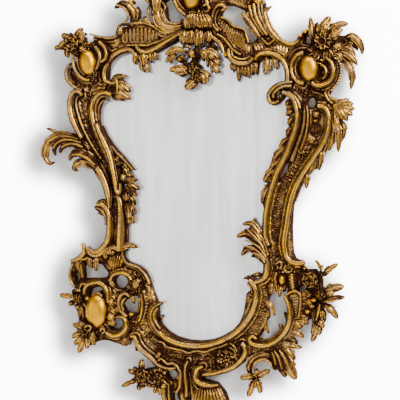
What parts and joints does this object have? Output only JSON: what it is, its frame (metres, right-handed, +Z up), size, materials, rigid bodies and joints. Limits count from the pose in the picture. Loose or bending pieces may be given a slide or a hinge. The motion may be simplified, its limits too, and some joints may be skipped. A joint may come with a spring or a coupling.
{
  "type": "wall mirror",
  "caption": "Tall wall mirror in a pierced, carved and gilded rococo frame of scrolls, shellwork, leaves and flowers, with a waisted glass and a flat backboard.",
  "frame": {"origin": "on the wall's plane, behind the middle of the mirror glass, at the mount wall_face on the backboard", "axes": "+Y into the wall, +Z up, the glass faces -Y"},
  "size_m": [1.0979, 0.07, 1.445],
  "materials": {
    "gilt_wood": "burnished gold leaf with dark brown patina in the hollows",
    "silvered_glass": "polished, faintly streaked with age",
    "bare_wood": "plain unpolished board"
  },
  "bodies": {
    "root": {"carved_frame": "gilt_wood", "mirror_glass": "silvered_glass", "backboard": "bare_wood"}
  },
  "joints": []
}
